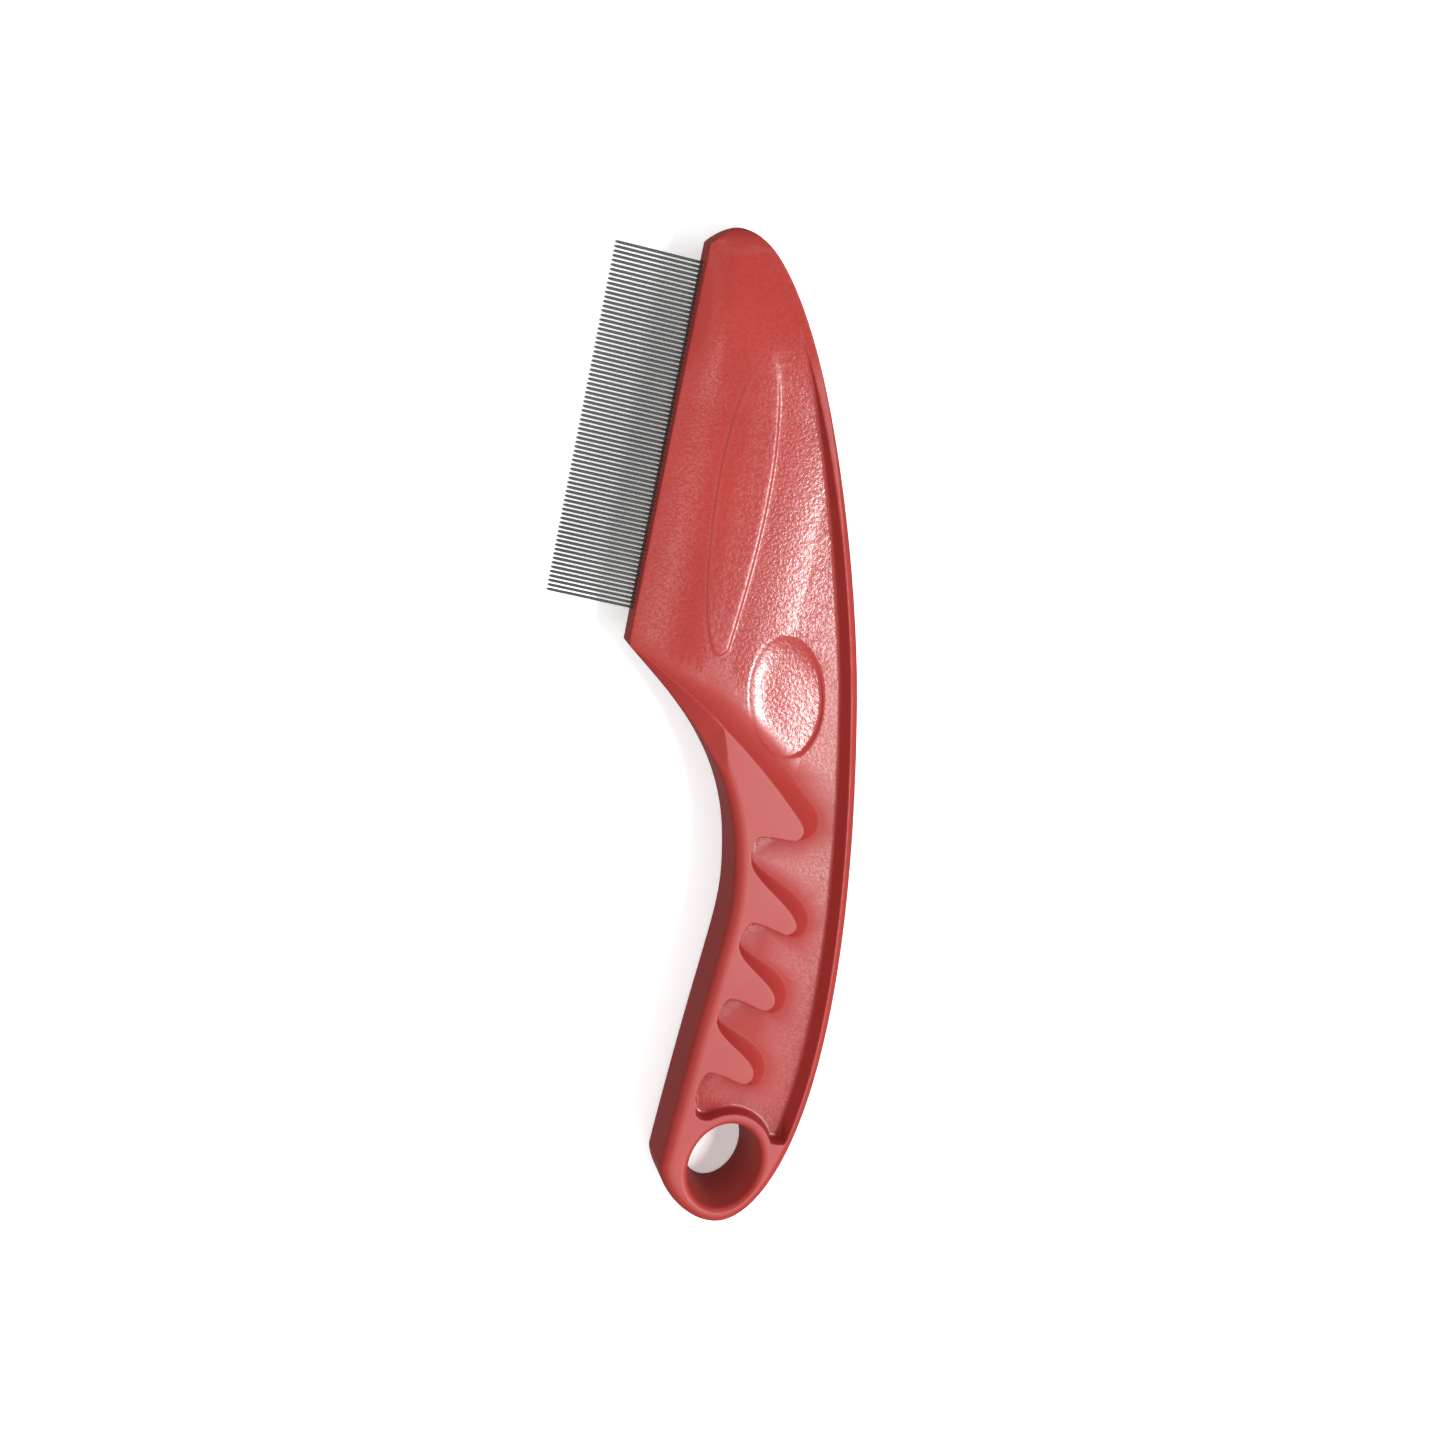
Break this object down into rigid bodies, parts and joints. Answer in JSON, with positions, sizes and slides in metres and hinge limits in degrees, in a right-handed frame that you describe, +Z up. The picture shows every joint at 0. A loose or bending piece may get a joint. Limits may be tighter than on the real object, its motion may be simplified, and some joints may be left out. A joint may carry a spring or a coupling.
{
  "type": "flea comb",
  "caption": "Flea comb with a curved moulded handle that has a hang hole, thumb dishes and grip fins, and a slanted row of fine straight steel teeth.",
  "frame": {"origin": "middle of the comb's footprint, on the surface it lies on", "axes": "+Y runs along the handle towards the head, the teeth point towards -X, and +Z is up, across the comb's thickness"},
  "size_m": [0.0531, 0.175, 0.014],
  "materials": {
    "handle_plastic": "injection moulded in red, with a fine spark-eroded grain on the recessed floors and smoother raised faces",
    "tooth_steel": "drawn stainless wire, polished, with rounded ends"
  },
  "bodies": {
    "root": {"handle": "handle_plastic", "tooth_pair_01": "tooth_steel", "tooth_pair_02": "tooth_steel", "tooth_pair_03": "tooth_steel", "tooth_pair_04": "tooth_steel", "tooth_pair_05": "tooth_steel", "tooth_pair_06": "tooth_steel", "tooth_pair_07": "tooth_steel", "tooth_pair_08": "tooth_steel", "tooth_pair_09": "tooth_steel", "tooth_pair_10": "tooth_steel", "tooth_pair_11": "tooth_steel", "tooth_pair_12": "tooth_steel", "tooth_pair_13": "tooth_steel", "tooth_pair_14": "tooth_steel", "tooth_pair_15": "tooth_steel", "tooth_pair_16": "tooth_steel", "tooth_pair_17": "tooth_steel", "tooth_pair_18": "tooth_steel", "tooth_pair_19": "tooth_steel", "tooth_pair_20": "tooth_steel", "tooth_pair_21": "tooth_steel", "tooth_pair_22": "tooth_steel", "tooth_pair_23": "tooth_steel", "tooth_pair_24": "tooth_steel", "tooth_pair_25": "tooth_steel", "tooth_pair_26": "tooth_steel", "tooth_pair_27": "tooth_steel", "tooth_pair_28": "tooth_steel", "tooth_pair_29": "tooth_steel", "tooth_pair_30": "tooth_steel", "tooth_pair_31": "tooth_steel", "tooth_pair_32": "tooth_steel", "tooth_pair_33": "tooth_steel", "tooth_pair_34": "tooth_steel", "tooth_pair_35": "tooth_steel", "tooth_pair_36": "tooth_steel", "tooth_pair_37": "tooth_steel", "tooth_pair_38": "tooth_steel", "tooth_pair_39": "tooth_steel"}
  },
  "joints": []
}
